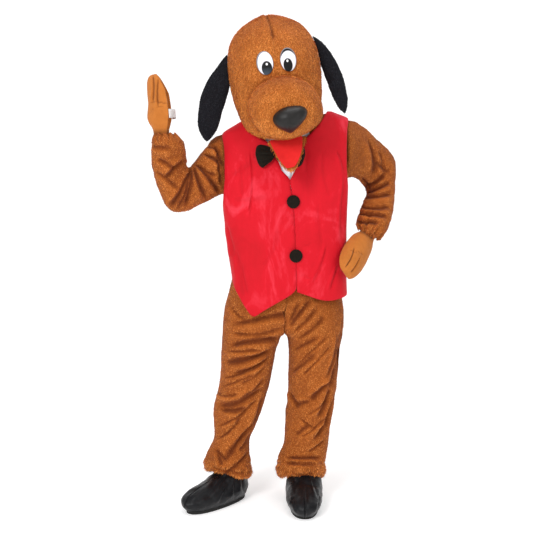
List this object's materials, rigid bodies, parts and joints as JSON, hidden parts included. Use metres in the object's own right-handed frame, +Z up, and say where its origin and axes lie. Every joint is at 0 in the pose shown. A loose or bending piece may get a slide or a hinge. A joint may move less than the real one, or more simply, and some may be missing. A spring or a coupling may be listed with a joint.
{
  "type": "worn dog costume of jumpsuit, vest, mascot head, mitts and shoe covers",
  "caption": "Plush dog costume in its worn form: hollow mascot head, jumpsuit, vest with bow tie, open mitts and shoe covers, one arm raised and one hand on the hip.",
  "frame": {"origin": "the middle between the wearer's shoulders, 1.40 m above the floor, where the wearer holds the costume up", "axes": "+Z up, -Y the way the costume faces, +X towards the wearer's left hand"},
  "size_m": [0.9086, 0.556, 1.7913],
  "materials": {
    "brown_plush": "short-pile plush",
    "tan_plush": "smooth brushed plush",
    "black_plush": "short-pile plush",
    "red_velvet": "velvet",
    "red_satin": "satin",
    "red_lining": "felted plush",
    "white_satin": "satin",
    "black_satin": "satin",
    "black_velvet": "velvet",
    "white_elastic": "woven elastic",
    "eye_cloth": "coated cloth",
    "sole_rubber": "thin non-slip rubber"
  },
  "bodies": {
    "root": {"suit_front_right": "brown_plush", "suit_back_right": "brown_plush", "suit_front_left": "brown_plush", "suit_back_left": "brown_plush", "sleeve_right": "brown_plush", "sleeve_left": "brown_plush", "back_zip": "brown_plush", "head_right": "brown_plush", "head_left": "brown_plush", "muzzle": "brown_plush", "lower_jaw": "brown_plush", "mitt_right": "tan_plush", "mitt_left": "tan_plush", "ear_right": "black_plush", "ear_left": "black_plush", "vest_front_right": "red_velvet", "vest_front_left": "red_velvet", "vest_back": "red_satin", "mouth_lining": "red_lining", "shirt_front": "white_satin", "nose": "black_satin", "shoe_cover_inner_right": "black_satin", "shoe_cover_outer_right": "black_satin", "shoe_cover_inner_left": "black_satin", "shoe_cover_outer_left": "black_satin", "button_upper": "black_velvet", "button_lower": "black_velvet", "bow_wing_right": "black_velvet", "bow_wing_left": "black_velvet", "bow_knot": "black_velvet", "mitt_strap_right": "white_elastic", "mitt_strap_left": "white_elastic", "eye_right": "eye_cloth", "eye_left": "eye_cloth", "sole_right": "sole_rubber", "sole_left": "sole_rubber"}
  },
  "joints": []
}
